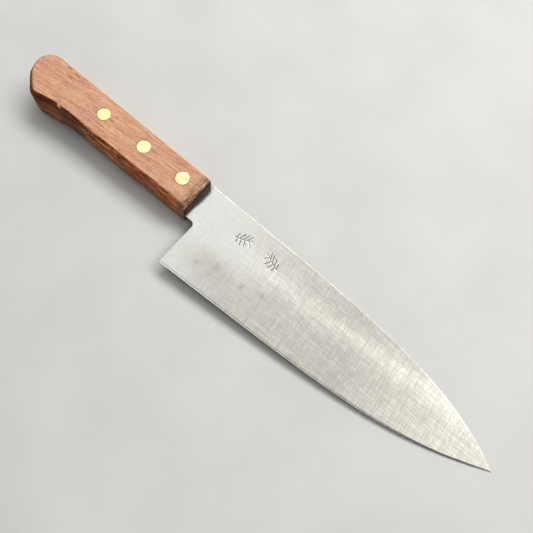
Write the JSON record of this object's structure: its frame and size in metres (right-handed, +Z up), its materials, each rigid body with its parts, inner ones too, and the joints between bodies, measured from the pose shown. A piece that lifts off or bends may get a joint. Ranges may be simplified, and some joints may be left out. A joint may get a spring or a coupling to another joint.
{
  "type": "chef knife",
  "caption": "Western-style chef knife: wide pointed steel blade, tang in a slotted flared wooden handle, flush brass rivets.",
  "frame": {"origin": "middle of the knife's outline seen from above, on the plane of the handle's lower flat side", "axes": "+X along the handle and the spine to the tip, +Y across the blade from the cutting edge to the spine, +Z up out of the handle's upper flat side"},
  "size_m": [0.3008, 0.0472, 0.015],
  "materials": {
    "blade_steel": "satin ground steel with fine scratches running from edge to spine, bright along the edges",
    "handle_wood": "worn oiled rosewood, dry on the flats and dark along the belly",
    "rivet_brass": "ground flush and lightly polished"
  },
  "bodies": {
    "root": {"blade": "blade_steel", "handle": "handle_wood", "rivet_front_male": "rivet_brass", "rivet_front_female": "rivet_brass", "rivet_middle_male": "rivet_brass", "rivet_middle_female": "rivet_brass", "rivet_rear_male": "rivet_brass", "rivet_rear_female": "rivet_brass"}
  },
  "joints": []
}
